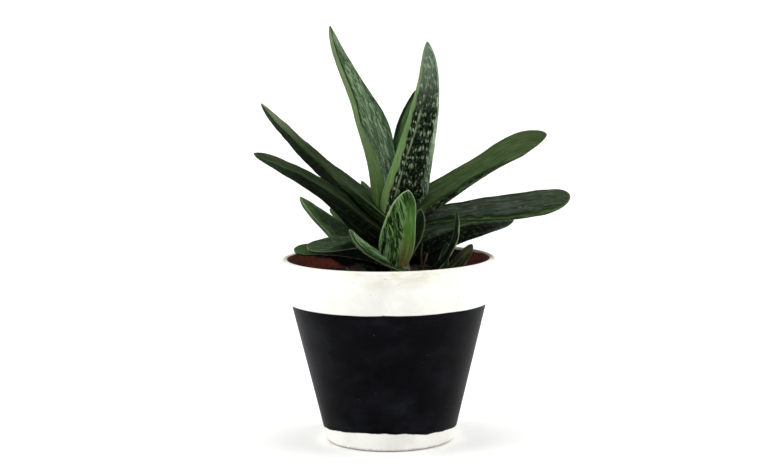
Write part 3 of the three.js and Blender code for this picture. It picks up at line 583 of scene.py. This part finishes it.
def painted_clay():
    """The pot's finish. Off-white paint lies on the collar and the foot, matt black paint on
    the body between, down to a hand-drawn edge, and bare red clay shows inside, underneath
    and where the paint is thin. The lip is darker, with dirt and with painted shade at its left
    and right ends; a painted shadow of the plant darkens the back of the inner wall; and soil
    has stained the collar's front."""
    r = Recipe("painted_clay")
    here = r.place()
    height = r.axes(here)[2]
    grain = r.noise(here, 900, 4, 0.6)
    cloud = r.noise(here, 45, 4, 0.6)
    fine = r.noise(here, 260, 4, 0.62)
    ragged_height = r.plus(height, r.times(fine, 4 * MM))

    clay = r.mix(cloud, tone((112, 48, 36)), tone((142, 72, 52)))
    clay = r.mix(r.between(grain, 0.35, 0.7), clay, tone((84, 38, 30)))
    # painted shadow: the plant's shadow on the back of the inner wall, painted as near-black clay
    shadow_on_clay = r.between(r.plus(r.attribute("plant_shadow"), r.times(fine, 0.8)), 0.6, 1.2)
    clay = r.mix(shadow_on_clay, clay, tone((7, 5, 4)))

    white = r.mix(r.between(cloud, 0.35, 0.7), tone((233, 233, 229)), tone((222, 221, 215)))
    smear = r.between(r.noise(here, (60, 60, 150), 5, 0.68, 0.6), 0.42, 0.72)
    stain = r.times(smear, r.plus(0.12, r.attribute("soiled")))
    white = r.mix(stain, white, tone((206, 200, 174)))
    # the lip's darker tone: dirt at the back, and painted shade at the lip's left and right ends
    near_lip = r.between(ragged_height, (POT_HEIGHT - 0.9) * MM, (POT_HEIGHT + 1.6) * MM)
    white = r.mix(r.times(near_lip, r.attribute("grime_and_shade")), white, tone((132, 122, 104)))
    speck = r.times(r.dots(here, 210, 0.06, 0.11), r.between(fine, 0.54, 0.62))
    white = r.mix(r.times(speck, 0.5), white, tone((96, 90, 80)))

    black = r.mix(r.between(cloud, 0.3, 0.75), tone((0, 0, 1)), tone((2, 2, 5)))
    chalk = r.between(r.noise(here, (34, 34, 52), 9, 0.66), 0.4, 0.76)
    black = r.mix(r.times(chalk, 0.24), black, tone((44, 46, 56)))
    fleck = r.times(r.dots(here, 330, 0.05, 0.1), r.between(r.noise(here, 90), 0.56, 0.64))
    black = r.mix(r.times(fleck, 0.35), black, tone((120, 120, 116)))

    above_foot = r.sums("SUBTRACT", height, r.attribute("paint_low"))
    above_body = r.sums("SUBTRACT", height, r.attribute("paint_high"))
    body = r.times(r.between(above_foot, -0.22 * MM, 0.22 * MM),
                   r.sums("SUBTRACT", 1, r.between(above_body, -0.1 * MM, 0.1 * MM)))
    chip = r.add("VectorMath", {0: here, 1: [v * MM for v in COLLAR_CHIP]},
                 operation="DISTANCE").outputs["Value"]
    body = r.most(body, r.between(chip, 0.5 * MM, 0.9 * MM, 1, 0))
    worn = r.between(ragged_height, 2.2 * MM, 4.2 * MM, 1, 0)
    paint = r.mix(r.times(worn, 0.4), r.mix(body, white, black), clay)
    bare = r.between(r.plus(r.attribute("inner"), r.times(fine, 0.3)), 0.62, 0.68)

    normal = r.relief(r.noise(here, (60, 60, 700), 3, 0.6), 0.1, 0.5)
    normal = r.relief(fine, 0.16, 0.5, normal)
    normal = r.relief(body, 0.12, 0.7, normal)
    return r.surface(colour=r.mix(bare, paint, clay), roughness=0.46, normal=normal, gloss=0.04)


def potting_soil():
    """Near-black soil with paler and browner crumbs; its dark tone is partly the soil's own and
    partly painted shade from the leaves over it.
    """
    r = Recipe("potting_soil")
    here = r.place()
    crumbs = r.cells(here, 620)
    lump = r.noise(here, 240, 6, 0.7)
    # the near-black tones: dark soil, and painted shade from the leaves over it
    colour = r.mix(lump, tone((8, 6, 5)), tone((30, 23, 17)))
    pick = r.channels(crumbs["Color"])[0]
    colour = r.mix(r.between(pick, 0.86, 0.93), colour, tone((58, 44, 32)))
    normal = r.relief(lump, 0.5, 0.7, r.relief(crumbs["Distance"], 0.5, 0.7))
    return r.surface(colour=colour, roughness=0.92, normal=normal, gloss=0.15)


def loose_grit():
    """Bits of bark, grit and white pumice, each of one tone from its own points."""
    r = Recipe("loose_grit")
    here = r.place()
    colour = r.mix(r.noise(here, 700, 4), r.attribute("ground", "Color"),
                   (0.01, 0.008, 0.006, 1))
    normal = r.relief(r.noise(here, 1200, 4), 0.2, 0.7)
    return r.surface(colour=colour, roughness=0.88, normal=normal, gloss=0.2)


def stem_skin():
    """Pale green stem, browner at its leaf scars."""
    r = Recipe("stem_skin")
    rings = r.noise(r.place(), (120, 120, 520), 4, 0.6)
    colour = r.mix(r.between(rings, 0.35, 0.65), tone((74, 84, 52)), tone((112, 96, 66)))
    normal = r.relief(rings, 0.4, 0.7)
    return r.surface(colour=colour, roughness=0.6, normal=normal, gloss=0.3)


def white_paper():
    return Recipe("white_paper").surface(colour=(0.9, 0.9, 0.89, 1), roughness=0.9, gloss=0.1)


# ---- leaves

def leaf_grid(leaf, seed, pup):
    """A leaf's surface as rows from root to tip and columns round the section.

    The middle line is the sum of small steps along the heading (cos el cos az,
    cos el sin az, sin el), with az and el Catmull-Rom curves of s. The section stands
    square to it, turned by roll. Over the top it is an ellipse of half thickness margin
    less a groove; under it, it drops to the keel as depth (1 - |t| ^ ridge). Width falls
    off at the tip as (1 - s ^ reach) ^ blunt and swells out of the root.
    """
    rows = int(leaf["length"] / ROW_STEP) + MORE_ROWS
    s = 1 - (1 - np.linspace(0, 1, rows)) ** 1.35
    stations = np.linspace(0, 1, PATH_STEPS + 1)

    def bearings(q):
        return np.radians(along(leaf["az"], q)), np.radians(along(leaf["el"], q))

    def heading(q):
        az, el = bearings(q)
        return np.stack([np.cos(el) * np.cos(az), np.cos(el) * np.sin(az), np.sin(el)], 1)

    steps = heading((stations[1:] + stations[:-1]) / 2) * leaf["length"] / PATH_STEPS
    path = np.concatenate([[np.zeros(3)], np.cumsum(steps, 0)]) + np.array(leaf["root"], float)
    centre = np.stack([np.interp(s, stations, path[:, k]) for k in range(3)], 1)
    az, el = bearings(s)
    lift = np.stack([-np.sin(el) * np.cos(az), -np.sin(el) * np.sin(az), np.cos(el)], 1)
    side = np.cross(heading(s), lift)
    roll = np.radians(along(leaf["roll"], s))[:, None]
    up = lift * np.cos(roll) + side * np.sin(roll)
    out = side * np.cos(roll) - lift * np.sin(roll)

    reach, blunt = TIPS[leaf["tip"]]
    closing = np.clip((1 - s) / CLOSING, 0.02, 1)
    swell = ROOT_SHARE + (1 - ROOT_SHARE) * np.sin(np.pi / 2 * np.clip(s / ROOT_LENGTH, 0, 1))
    narrowed = along(leaf["widths"], s) * swell * np.clip(1 - s ** reach, 0, 1) ** blunt
    half = np.maximum(narrowed, LEAST_WIDTH * closing) / 2
    fade = swell * np.clip(1 - s ** (1.4 * reach), 0, 1) ** 0.55
    depth = np.maximum(along(leaf["depths"], s) * fade, LEAST_DEPTH * closing)
    margin = (PUP_MARGIN if pup else MARGIN) * np.minimum(1, 1.15 - s ** 18)
    margin *= np.clip((1 - s) / (1.5 * CLOSING), 0.05, 1)
    groove = (0.6 if pup else 1) * np.sin(np.pi * s ** 0.6) ** 0.8
    keel = along(leaf.get("keel", KEEL), s)
    ridge = 2 - 0.75 * np.minimum(1, s / 0.3)
    half, depth, margin, groove, keel, ridge = (
        v[:, None] for v in (half, depth, margin, groove, keel, ridge))

    a = np.linspace(0, np.pi, TOP_POINTS + 2)[None, :-1]
    top_x = np.cos(a) + 0 * half
    top_z = margin * np.sin(a) - groove * np.sin(a) ** 2
    b = np.linspace(0, np.pi, UNDER_POINTS + 2)[None, :-1]
    t = -np.cos(b) + 0 * half
    under_x = keel + t * np.where(t > 0, 1 - keel, 1 + keel)
    soft = (np.sqrt(t ** 2 + 0.0025) - 0.05) / (math.sqrt(1.0025) - 0.05)
    bulge = np.sqrt(np.clip(1 - under_x ** 2, 0, 1))
    under_z = -margin * bulge - depth * (1 - soft ** ridge)

    x = np.concatenate([top_x, under_x], 1)
    across = x * half
    run = s[:, None] * leaf["length"]
    away = np.clip((1 - s[:, None]) / 0.1, 0, 1) * np.clip(s[:, None] / 0.1, 0, 1)
    z = np.concatenate([top_z, under_z], 1) + away * (
        0.22 * ripples(across, run, seed, 26) + 0.07 * ripples(across, run, seed + 1, 7))
    wander = 1 + 0.012 * ripples(run, 0 * run, seed + 2, 18) * away
    points = centre[:, None] + (across * wander)[..., None] * out[:, None] \
        + z[..., None] * up[:, None]
    flank = np.concatenate([np.zeros_like(top_x), np.where(t >= 0, 1.0, -1.0)], 1)
    flank[:, TOP_POINTS + 1] = 0
    to_keel = np.concatenate([np.full_like(top_x, 99.0), np.abs(under_x - keel) * half], 1)
    return dict(points=points, x=x, s=s, half=half, run=run, flank=flank, to_keel=to_keel)


def skin_values(grid, look, seed):
    """The leaf's ground tone, marks' tone and marks' strengths, point by point: each skin's
    three tones run from root to tip, and neighbouring skins meet along the keel, along the
    margins and at the inner edge of a band."""
    s, x, half = grid["s"][:, None] + 0 * grid["x"], grid["x"], grid["half"]
    run, flank = grid["run"], grid["flank"]
    ground, mark, share = (np.zeros((*x.shape, size)) for size in (3, 3, 4))

    def lay(skin, weight):
        low, mid, high, mark_tone = (linear(values) for values in SKINS[skin][:4])
        first, last = ease(s, 0.05, 0.5)[..., None], ease(s, 0.62, 1.02)[..., None]
        laid = low + (mid - low) * first + (high - mid) * last
        w = weight[..., None]
        strengths = np.array(SKINS[skin][4])
        for layer, value in ((ground, laid), (mark, mark_tone), (share, strengths)):
            layer[:] = layer * (1 - w) + value * w

    lay(look["upper"], np.ones_like(x))
    lay(look["plus"], (flank > 0).astype(float))
    lay(look.get("minus", look["plus"]), (flank < 0).astype(float))
    stray = ripples(run, x * half, seed + 5, 9)
    for face, sign, skin, widths, ragged in look.get("bands", ()):
        on_face = flank * sign > 0 if face == "under" else (flank == 0) & (x * sign > 0)
        width = along(widths, s)
        inside = width + ragged * stray * np.minimum(1, width) - (1 - sign * x) * half
        soft = 0.15 + 0.35 * ragged
        lay(skin, on_face * ease(inside, -soft, soft))
    line = 0.75 + 0.2 * ripples(run, 3 * x, seed + 6, 9)
    rim = along(look["rim"] + look["rim"][-1:], s)
    pale = rim * (1 - ease((1 - np.abs(x)) * half, 0.1 * line, 0.6 * line))
    crest = 1 - ease(grid["to_keel"], 0.15, 0.75)
    crest = crest * ease(ripples(run, 2 * x, seed + 7, 7), -1.0, 0.4)
    crest = crest * ease(s, 0.08, 0.3) * (1 - ease(s, 0.7, 0.9))
    pale = np.maximum(pale, look.get("ridge", 0) * crest)
    pale = np.maximum(pale, rim * ease(s, 0.985, 0.996))
    lay("dry_point", 0.6 * ease(s, 0.975, 0.994))
    return ground, mark, share, np.clip(pale, 0, 1)


def add_leaf(name, leaf, look, slot, seed, node=None):
    """A leaf in its skins. Its UV map gives the way round the section and the way from the
    root, both in millimetres, moved on by the seed so that no two leaves are marked alike."""
    pup = slot == "pup_leaf"
    grid = leaf_grid(leaf, seed, pup)
    points = grid["points"]
    rows, columns = points.shape[:2]
    ground, mark, share, pale = skin_values(grid, look, seed)
    side_step = np.linalg.norm(np.roll(points, -1, 1) - points, axis=2)
    lap = np.concatenate([np.zeros((rows, 1)), np.cumsum(side_step, 1)], 1)
    third = columns // 3
    lap = lap - lap[:, third:third + 1]
    flat = np.stack([lap, grid["run"] + 0 * lap], 2) * (PUP_FINENESS if pup else 1)
    flat = flat + seed * np.array(SEED_SHIFT)
    uv = np.stack([flat[:-1, :-1], flat[1:, :-1], flat[1:, 1:], flat[:-1, 1:]], 2)

    def with_ends(values):
        values = values.reshape(rows * columns, -1)
        return np.concatenate([values, values[:1], values[-1:]])

    opaque = np.ones((rows, columns))
    colours = {"ground": with_ends(np.dstack([ground, opaque])),
               "mark": with_ends(np.dstack([mark, opaque])), "share": with_ends(share)}
    piece = tube_piece(name, points, [points[0].mean(0), points[-1].mean(0)], uv=uv,
                       colours=colours, numbers={"pale": with_ends(pale)})
    place(piece, LEAF_SKIN, node)


# ---- pot

def arc(centre, radius, start, end, steps):
    """Points on an arc in the plane of radius and height, angles in degrees."""
    angles = np.radians(np.linspace(start, end, steps))
    return np.stack([centre[0] + radius * np.cos(angles), centre[1] + radius * np.sin(angles)], 1)


def straight(start, end, steps):
    return np.linspace(start, end, steps + 1)[:-1]


FLARE = (COLLAR_FOOT_RADIUS - COLLAR_OVERHANG - BASE_RADIUS - FOOT_ROUND) \
    / (COLLAR_FOOT - FOOT_ROUND)


def body_radius(z):
    return BASE_RADIUS + FOOT_ROUND + FLARE * (z - FOOT_ROUND)


INNER_WALL = np.array([
    (body_radius(FLOOR_THICKNESS) - WALL - 1, FLOOR_THICKNESS),
    (body_radius(FLOOR_THICKNESS + 1) - WALL, FLOOR_THICKNESS + 1),
    (body_radius(COLLAR_FOOT - 6) - WALL, COLLAR_FOOT - 6),
    (COLLAR_FOOT_RADIUS - WALL - 1, COLLAR_FOOT),
    (RIM_RADIUS - RIM_LIP, POT_HEIGHT - LIP_INNER_ROUND),
])


def inner_radius(z):
    return np.interp(z, INNER_WALL[:, 1], INNER_WALL[:, 0])


def pot_profile():
    """The pot's outline in radius and height, in two parts: the flat base, the rounded foot,
    the tapered body, the collar and the lip; then the inner wall down to the floor. Each
    stretch starts a little past the end of the one before it."""
    lip = RIM_RADIUS - RIM_LIP
    foot, body_top = FOOT_ROUND + CORNER_ROUND, COLLAR_FOOT - CORNER_ROUND
    corner, edge = body_radius(COLLAR_FOOT), COLLAR_FOOT_RADIUS - COLLAR_ROUND
    outside = np.concatenate([
        straight((0, 0), (BASE_RADIUS - 0.4, 0), 18),
        arc((BASE_RADIUS - 0.1, FOOT_ROUND), FOOT_ROUND, -90, -12, 7),
        straight((body_radius(foot), foot), (body_radius(body_top), body_top), 60),
        arc((corner + CORNER_ROUND, body_top), CORNER_ROUND, 180, 90, 4),
        straight((corner + 1, COLLAR_FOOT), (edge, COLLAR_FOOT), 3),
        arc((edge, COLLAR_FOOT + COLLAR_ROUND), COLLAR_ROUND, -90, 0, 6),
        straight((COLLAR_FOOT_RADIUS + 0.03, COLLAR_FOOT + 1.3),
                 (RIM_RADIUS, POT_HEIGHT - 1.8), 24),
        arc((RIM_RADIUS - LIP_ROUND, POT_HEIGHT - LIP_ROUND), LIP_ROUND, 0, 90, 8),
        straight((RIM_RADIUS - 1.9, POT_HEIGHT), (lip + 1.4, POT_HEIGHT), 4),
    ])
    stops = [(lip - 0.02, POT_HEIGHT - 1.5), *INNER_WALL[3::-1], (0, FLOOR_THICKNESS)]
    inside = np.concatenate([
        arc((lip + LIP_INNER_ROUND, POT_HEIGHT - LIP_INNER_ROUND), LIP_INNER_ROUND, 90, 180, 7),
        *map(straight, stops[:-1], stops[1:], (20, 6, 30, 2, 14)),
    ])
    return outside[1:], inside


def add_pot():
    """The pot: its outline turned about the axis, with drain holes through the floor. Its
    points carry where the paint ends, where it is soiled, where the lip is darker with dirt
    and painted shade, and where the painted shadow of the plant falls on the inner wall:
    bumps exp(-(turn / width)^2) at certain turns, laid over soft waves."""
    outside, inside = pot_profile()
    profile = np.concatenate([outside, inside])
    height = profile[:, 1:]
    angle = around(POT_SIDES)
    degrees = np.degrees(angle - 2 * np.pi * (angle > np.pi))

    def bump(at, width):
        return np.exp(-((np.mod(degrees - at + 180, 360) - 180) / width) ** 2)

    def waves(seed, reach):
        return ripples(40 * np.cos(angle), 40 * np.sin(angle), seed, reach)

    steps = np.linalg.norm(np.diff(profile, axis=0), axis=1)
    run = np.concatenate([[0], np.cumsum(steps)])
    row = np.arange(len(profile))[:, None]
    past_lip = (run - run[len(outside) + 2])[:, None]
    inner = np.clip(0.5 + 0.4 * (past_lip - 0.5 - 1.2 * bump(55, 35) - 0.25 * waves(6, 12)), 0, 1)
    inner = np.maximum(inner, np.clip(1.2 - row / 18, 0, 1))
    low = FOOT_PAINT + 2.8 * np.clip(np.cos(angle + math.radians(97)), 0, 1) ** 2.2 \
        - 0.9 * bump(-62, 12) + 0.22 * waves(4, 9) + 0.1 * waves(5, 3)
    high = COLLAR_FOOT + 0.1 + 0.4 * bump(-92, 9) + 0.35 * bump(-56, 9) + 0.08 * waves(7, 8)
    soiled = (0.75 * bump(-84, 22) + 0.2 * bump(-140, 20)) * ease(height, 99, 112) \
        * (row <= len(outside))
    # where the lip is darker: dirt at the back, painted shade at the left and right ends
    grime_and_shade = 0.08 + 0.6 * bump(2, 16) + 0.45 * bump(32, 22) + 0.5 * bump(180, 16) \
        + 0.25 * bump(120, 40)
    # painted shadow of the plant on the inner wall, from the back-right round to where it ends
    lit_from = 120 + 2.2 * (height - 102) + 1.6 * waves(8, 9)
    plant_shadow = ease(degrees, 34, 48) * (1 - ease(degrees, lit_from - 6, lit_from + 6))
    layers = {"inner": (inner, 1), "paint_low": (low * MM, 0), "paint_high": (high * MM, 1),
              "soiled": (soiled, 0), "grime_and_shade": (grime_and_shade, 0), "plant_shadow": (plant_shadow, 0)}
    numbers = {label: np.append(values + 0 * inner, [at_ends] * 2)
               for label, (values, at_ends) in layers.items()}
    rings = turned(profile[:, 0], profile[:, 1], POT_SIDES)
    piece = tube_piece("pot_painted", rings, [(0, 0, 0), (0, 0, FLOOR_THICKNESS)], flip=True,
                       numbers=numbers)
    drill_holes(piece)
    place(piece, PAINTED_CLAY, "pot")


def drill_holes(piece):
    """Takes the drain holes out of the floor: upright cylinders on a circle round the axis."""
    ends = (-DRILL_SPARE, FLOOR_THICKNESS + DRILL_SPARE)
    points = []
    for turn in math.pi / 2 + around(DRAIN_HOLES):
        x, y = DRAIN_CIRCLE * math.cos(turn), DRAIN_CIRCLE * math.sin(turn)
        points += [*turned([DRAIN_RADIUS] * 2, ends, DRILL_SIDES, (x, y)),
                   [(x, y, end) for end in ends]]
    size = 2 * DRILL_SIDES + 2
    faces = [repeated(part, DRAIN_HOLES, size) for part in tube_faces(2, DRILL_SIDES, flip=True)]
    drill = mesh_piece("drill", np.concatenate(points), *faces)
    cut = piece.modifiers.new("drain_holes", "BOOLEAN")
    cut.operation = "DIFFERENCE"
    cut.solver = "EXACT"
    cut.object = drill
    bpy.context.view_layer.update()
    whole = piece.evaluated_get(bpy.context.evaluated_depsgraph_get())
    holed = bpy.data.meshes.new_from_object(whole)
    piece.modifiers.clear()
    piece.data = holed
    bpy.data.objects.remove(drill)


# ---- soil

def crumb_height(x, y):
    """The soil's relief: the solid's slow waves, with finer seeded lumps on them."""
    slow = np.sin(0.31 * x + 1.3) * np.cos(0.27 * y - 0.4) \
        + 0.6 * np.sin(0.63 * x - 0.52 * y) + 0.5 * np.cos(0.47 * x + 0.71 * y + 2.1)
    lumps = 0.28 * ripples(x, y, 21, 5.0, 9) + 0.16 * ripples(x, y, 22, 2.4, 11)
    return SOIL_RELIEF * slow / 2.1 + lumps - 0.2


def add_soil():
    """The soil that fills the pot: rings from the middle of its crumbly top out to the
    wall, and down the wall to the pot's floor."""
    outer = inner_radius(SOIL_LEVEL - SOIL_RELIEF) - SOIL_GAP
    top = turned(np.linspace(0.6, outer, SOIL_RINGS), [SOIL_LEVEL] * SOIL_RINGS, SOIL_SIDES)
    top[..., 2] += crumb_height(top[..., 0], top[..., 1])
    levels = np.array([SOIL_LEVEL - 4, COLLAR_FOOT, COLLAR_FOOT - 6, FLOOR_THICKNESS + 1.3,
                       FLOOR_THICKNESS + SOIL_GAP])
    wall = turned(inner_radius(levels) - SOIL_GAP, levels, SOIL_SIDES)
    ends = [(0, 0, SOIL_LEVEL + crumb_height(0.0, 0.0)), (0, 0, levels[-1])]
    piece = tube_piece("soil_filling", np.concatenate([top, wall]), ends)
    place(piece, potting_soil(), "soil")


def add_grit():
    """Loose bits on the soil: each is a small ball of eight-sided rings, squeezed along its
    own axes, turned at random and half sunk in the surface."""
    rng = np.random.default_rng(8)
    count = GRIT_COUNT
    tilt = np.linspace(0.25, np.pi - 0.25, GRIT_RINGS)
    ball = turned(np.sin(tilt), np.cos(tilt), GRIT_SIDES).reshape(-1, 3)
    ball = np.concatenate([ball, [(0, 0, 1)], [(0, 0, -1)]])
    size = rng.uniform(0.45, 1.5, (count, 1, 1)) * rng.uniform(0.5, 1.2, (count, 1, 3))
    lumpy = 1 + rng.uniform(-0.22, 0.22, (count, len(ball), 1))
    axes = np.linalg.qr(rng.normal(size=(count, 3, 3)))[0]
    axes[:, :, 0] *= np.sign(np.linalg.det(axes))[:, None]
    bits = np.einsum("kij,knj->kni", axes, ball[None] * size * lumpy)
    distance = (inner_radius(SOIL_LEVEL) - 3) * np.sqrt(rng.uniform(0, 1, count))
    angle = rng.uniform(0, 2 * np.pi, count)
    x, y = distance * np.cos(angle), distance * np.sin(angle)
    seat = np.stack([x, y, SOIL_LEVEL + crumb_height(x, y) + 0.15], 1)
    tones = linear([(34, 26, 20), (56, 42, 30), (84, 66, 46), (150, 144, 130)])
    chosen = tones[rng.choice(4, count, p=(0.46, 0.34, 0.16, 0.04))]
    ground = np.repeat(np.concatenate([chosen, np.ones((count, 1))], 1), len(ball), 0)
    faces = [repeated(part, count, len(ball)) for part in tube_faces(GRIT_RINGS, GRIT_SIDES)]
    piece = mesh_piece("soil_grit", bits + seat[:, None], *faces, colours={"ground": ground})
    place(piece, loose_grit())


# ---- stems

def add_stem(name, stem):
    """A stem turned about its own axis: it narrows upwards through rounded rings where
    leaves have dropped, and its stub stands in the soil."""
    surface = SOIL_LEVEL + SOIL_RELIEF
    part = np.linspace(0, 1, STEM_RINGS)
    ringed = 0.965 + 0.035 * np.cos(2 * np.pi * 4 * part + np.pi) ** 3
    radius = stem["radius"] * np.concatenate([
        [0.985] * 4, ringed * (1 - 0.3 * part), [0.55, 0.3, 0.08]])
    height = np.concatenate([np.linspace(SOIL_LEVEL - STUB_DEPTH, SOIL_LEVEL + 0.6, 4),
                             surface + part * (stem["top"] - surface),
                             stem["top"] + np.array([0.5, 0.8, 0.95])])
    at = (stem["x"], stem["y"])
    piece = tube_piece(name + "_scarred", turned(radius, height, STEM_SIDES, at),
                       [(*at, height[0]), (*at, height[-1])], flip=True)
    place(piece, STEM_SKIN, name)


# ---- the object

LEAF_SKIN = leaf_skin()
PAINTED_CLAY = painted_clay()
STEM_SKIN = stem_skin()

add_pot()
add_soil()
add_grit()
for stem_name, stem_values in STEMS.items():
    add_stem(stem_name, stem_values)
for number, (leaf_name, leaf_values) in enumerate(LEAVES.items()):
    leaf_slot = "pup_leaf" if leaf_name.startswith("pup_") else "leaf"
    add_leaf(leaf_name + "_fine", leaf_values, LOOKS[leaf_name], leaf_slot, 10 * number + 3,
             leaf_name)
for number, (dried_name, dried_values) in enumerate(DRIED.items()):
    add_leaf(dried_name, dried_values, DRIED_LOOK, "pup_leaf", 10 * number + 407)


# ---- studio

PAPER_FLOOR = 1300         # radius of the flat floor, in millimetres
PAPER_BEND = 700           # radius of its bend up into the wall
PAPER_TOP = 2600           # height of the wall

# Each lamp: its place, the point that it faces and its side in metres, and its power.
LAMPS = {
    "lamp_left": ((-1.5, -0.25, 0.9), (0, 0, 0.12), 1.3, 16.5),
    "lamp_right": ((1.5, -0.15, 0.9), (0, 0, 0.12), 1.3, 16.5),
    "lamp_top": ((0, 0, 1.9), (0, 0, 0.1), 2.2, 18),
    "lamp_wall": ((0, 0.95, 1.7), (0, 2, 0.35), 1.6, 9),
}
WORLD_LIGHT = 0.16

CAMERA_PLACE = (-0.0026, -1.2, 0.278)
CAMERA_PITCH = 7.09        # degrees that it looks down by
CAMERA_LEAN = -0.6         # degrees that it leans over by
SENSOR = 36
LENS = 91.734375


def add_backdrop():
    """White paper: a flat round floor that curves up into a wall on every side."""
    bend = np.radians(np.linspace(-90, 0, 14))[1:]
    wall = np.linspace(PAPER_BEND + 100, PAPER_TOP, 8)
    radius = np.concatenate([np.linspace(60, PAPER_FLOOR, 14),
                             PAPER_FLOOR + PAPER_BEND * np.cos(bend),
                             np.full(len(wall), PAPER_FLOOR + PAPER_BEND)])
    height = np.concatenate([np.zeros(14), PAPER_BEND * (1 + np.sin(bend)), wall])
    points = turned(radius, height, PAPER_SIDES).reshape(-1, 3)
    quads, fans = tube_faces(len(radius), PAPER_SIDES)
    paper = mesh_piece("paper_sweep", np.concatenate([points, [(0, 0, 0)]]), quads,
                       fans[:PAPER_SIDES])
    paper.data.materials.append(white_paper())


def add_lamp(name, at, aim, size, power):
    """A square soft lamp."""
    light = bpy.data.lights.new(name, "AREA")
    light.size = size
    light.energy = power
    lamp = bpy.data.objects.new(name, light)
    turn = (Vector(aim) - Vector(at)).to_track_quat("-Z", "Y").to_matrix().to_4x4()
    lamp.matrix_world = Matrix.Translation(at) @ turn
    bpy.context.scene.collection.objects.link(lamp)


def add_camera():
    """A long lens in front of the plant, looking slightly down at it."""
    tilt = Matrix.Rotation(math.radians(90 - CAMERA_PITCH), 4, "X")
    lean = Matrix.Rotation(math.radians(CAMERA_LEAN), 4, "Z")
    lens = bpy.data.cameras.new("camera")
    lens.sensor_width = SENSOR
    lens.lens = LENS
    camera = bpy.data.objects.new("camera", lens)
    camera.matrix_world = Matrix.Translation(CAMERA_PLACE) @ tilt @ lean
    bpy.context.scene.collection.objects.link(camera)
    bpy.context.scene.camera = camera


add_backdrop()
for lamp_name, lamp_values in LAMPS.items():
    add_lamp(lamp_name, *lamp_values)
add_camera()

world = bpy.data.worlds.new("studio")
bpy.context.scene.world = world
world.use_nodes = True
background = world.node_tree.nodes["Background"]
background.inputs["Color"].default_value = (1, 1, 1, 1)
background.inputs["Strength"].default_value = WORLD_LIGHT
bpy.context.scene.view_settings.view_transform = "Standard"
bpy.context.scene.view_settings.look = "None"
